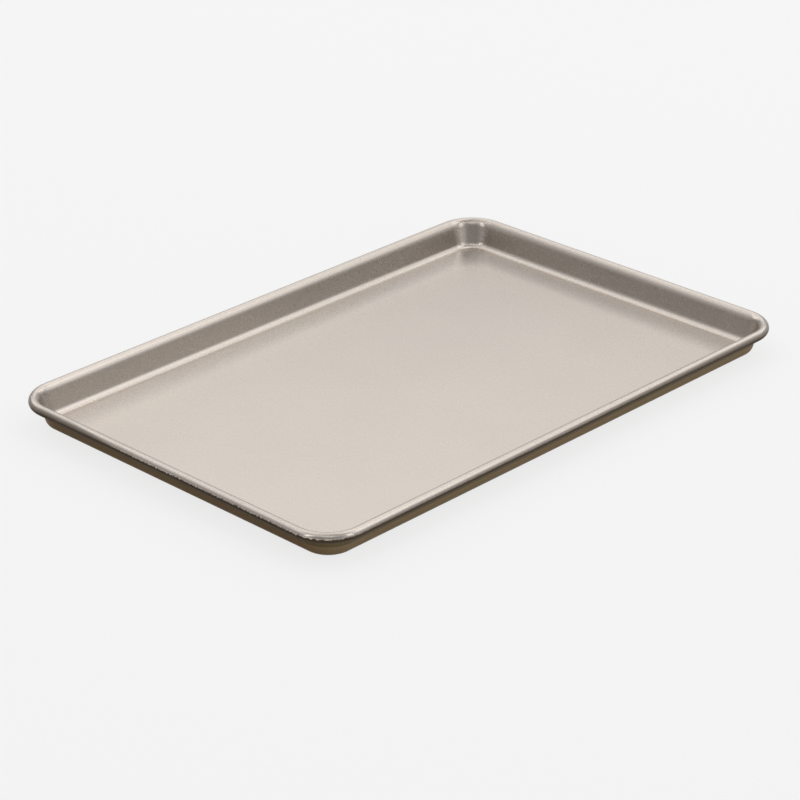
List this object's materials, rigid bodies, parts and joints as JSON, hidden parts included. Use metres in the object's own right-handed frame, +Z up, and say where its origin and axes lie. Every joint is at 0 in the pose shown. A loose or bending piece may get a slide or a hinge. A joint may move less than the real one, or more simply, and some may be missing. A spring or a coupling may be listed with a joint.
{
  "type": "jelly roll pan",
  "caption": "Shallow rectangular steel baking pan with sloped walls, rounded corners, a non-stick coat and a rim rolled over a steel wire.",
  "frame": {"origin": "middle of the underside of the floor, on the surface that the pan stands on", "axes": "+X along the length of the pan, +Y across its width, +Z up, out of the open top"},
  "size_m": [0.3928, 0.2658, 0.019],
  "materials": {
    "champagne_coat": "satin champagne non-stick coat on the inside and over the bead, and a darker bronze coat on the outside and underneath",
    "rim_wire_steel": "plain drawn wire, bare and dull, hidden inside the bead"
  },
  "bodies": {
    "root": {"pan_sheet": "champagne_coat", "rim_wire": "rim_wire_steel"}
  },
  "joints": []
}
